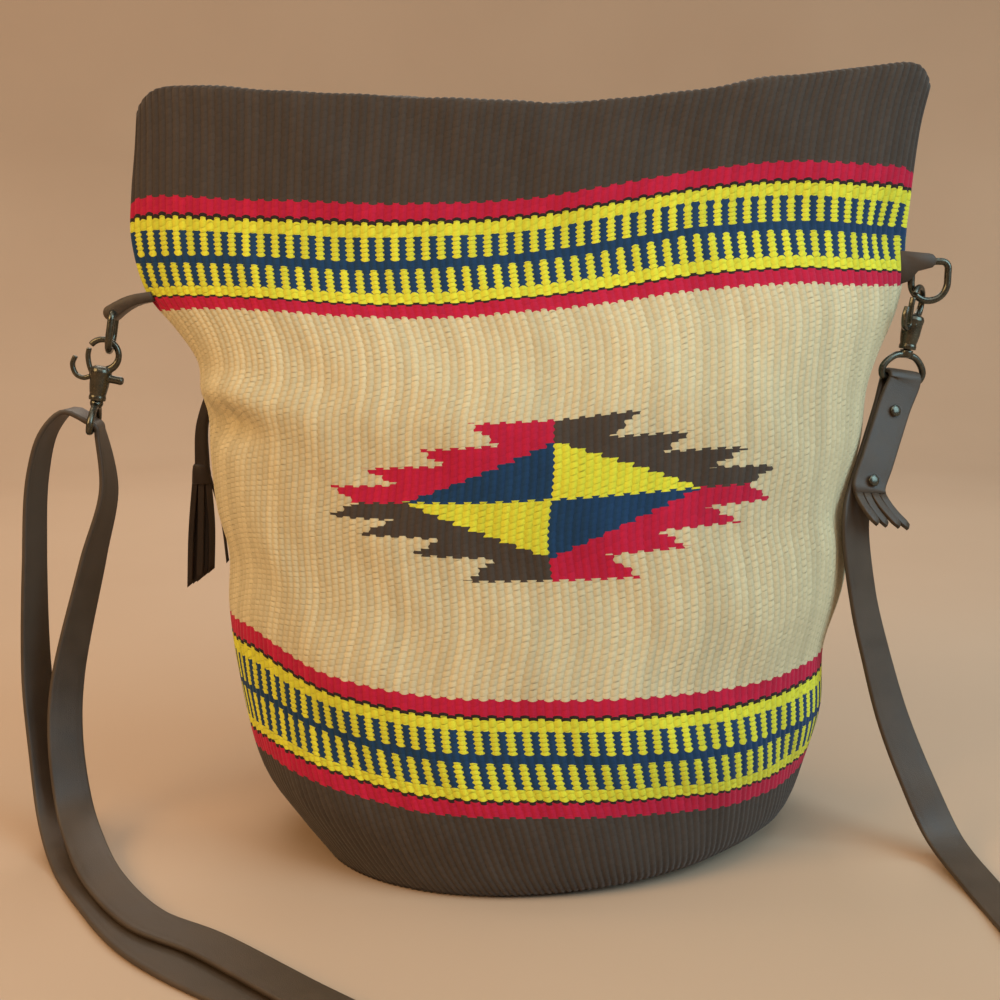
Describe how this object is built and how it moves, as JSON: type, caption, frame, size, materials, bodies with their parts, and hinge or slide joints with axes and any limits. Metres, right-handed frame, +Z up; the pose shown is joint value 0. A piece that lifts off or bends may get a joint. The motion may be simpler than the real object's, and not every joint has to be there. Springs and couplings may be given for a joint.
{
  "type": "woven bucket purse",
  "caption": "Hand-woven wool bucket purse with an open flat mouth and an oval base, carried on a leather strap clipped to rings at its sides by swivel trigger clasps.",
  "frame": {"origin": "centre of the oval base's underside, on the surface that the purse stands on", "axes": "+Z up, front with the woven diamond towards -Y, the doubled end of the strap on the -X side"},
  "size_m": [0.4126, 0.3492, 0.328],
  "materials": {
    "woven_wool": "coarse weft-faced weave, brown, red, yellow, navy and cream",
    "brown_wool": "coarse weft-faced weave",
    "leather": "smooth, with a faint line along both edges",
    "tassel_leather": "waxed, cut in strips",
    "bronze": "dark antique bronze plating"
  },
  "bodies": {
    "bag": {"body_panel": "woven_wool", "base_panel": "brown_wool", "left_tab": "leather", "right_tab": "leather", "left_d_ring": "bronze", "right_d_ring": "bronze", "left_eye": "bronze", "right_eye": "bronze", "strap": "leather", "upper_strap_rivet": "bronze", "lower_strap_rivet": "bronze", "strap_slider": "bronze", "tassel": "tassel_leather"},
    "left_clasp": {"left_hook": "bronze"},
    "left_trigger": {"left_lever": "bronze"},
    "right_clasp": {"right_hook": "bronze"},
    "right_trigger": {"right_lever": "bronze"}
  },
  "joints": [
    {"name": "left_swivel", "type": "hinge", "parent": "bag", "child": "left_clasp", "pos_m": [-0.19022, 0, 0.19292], "axis": [0.1908, 0, 0.9816], "range_deg": [-16, 30]},
    {"name": "left_lever_press", "type": "hinge", "parent": "left_clasp", "child": "left_trigger", "pos_m": [-0.19193, 0, 0.19987], "axis": [0, 1, 0], "range_deg": [0, 25], "stiffness_Nm_per_rad": 0.01, "springref_deg": -20.05},
    {"name": "right_swivel", "type": "hinge", "parent": "bag", "child": "right_clasp", "pos_m": [0.16118, -0.00184, 0.21507], "axis": [0.1564, 0, 0.9877], "range_deg": [-6, 26]},
    {"name": "right_lever_press", "type": "hinge", "parent": "right_clasp", "child": "right_trigger", "pos_m": [0.1605, -0.0043, 0.22176], "axis": [-0.8091, 0.5736, 0.1281], "range_deg": [0, 25], "stiffness_Nm_per_rad": 0.01, "springref_deg": -20.05}
  ]
}
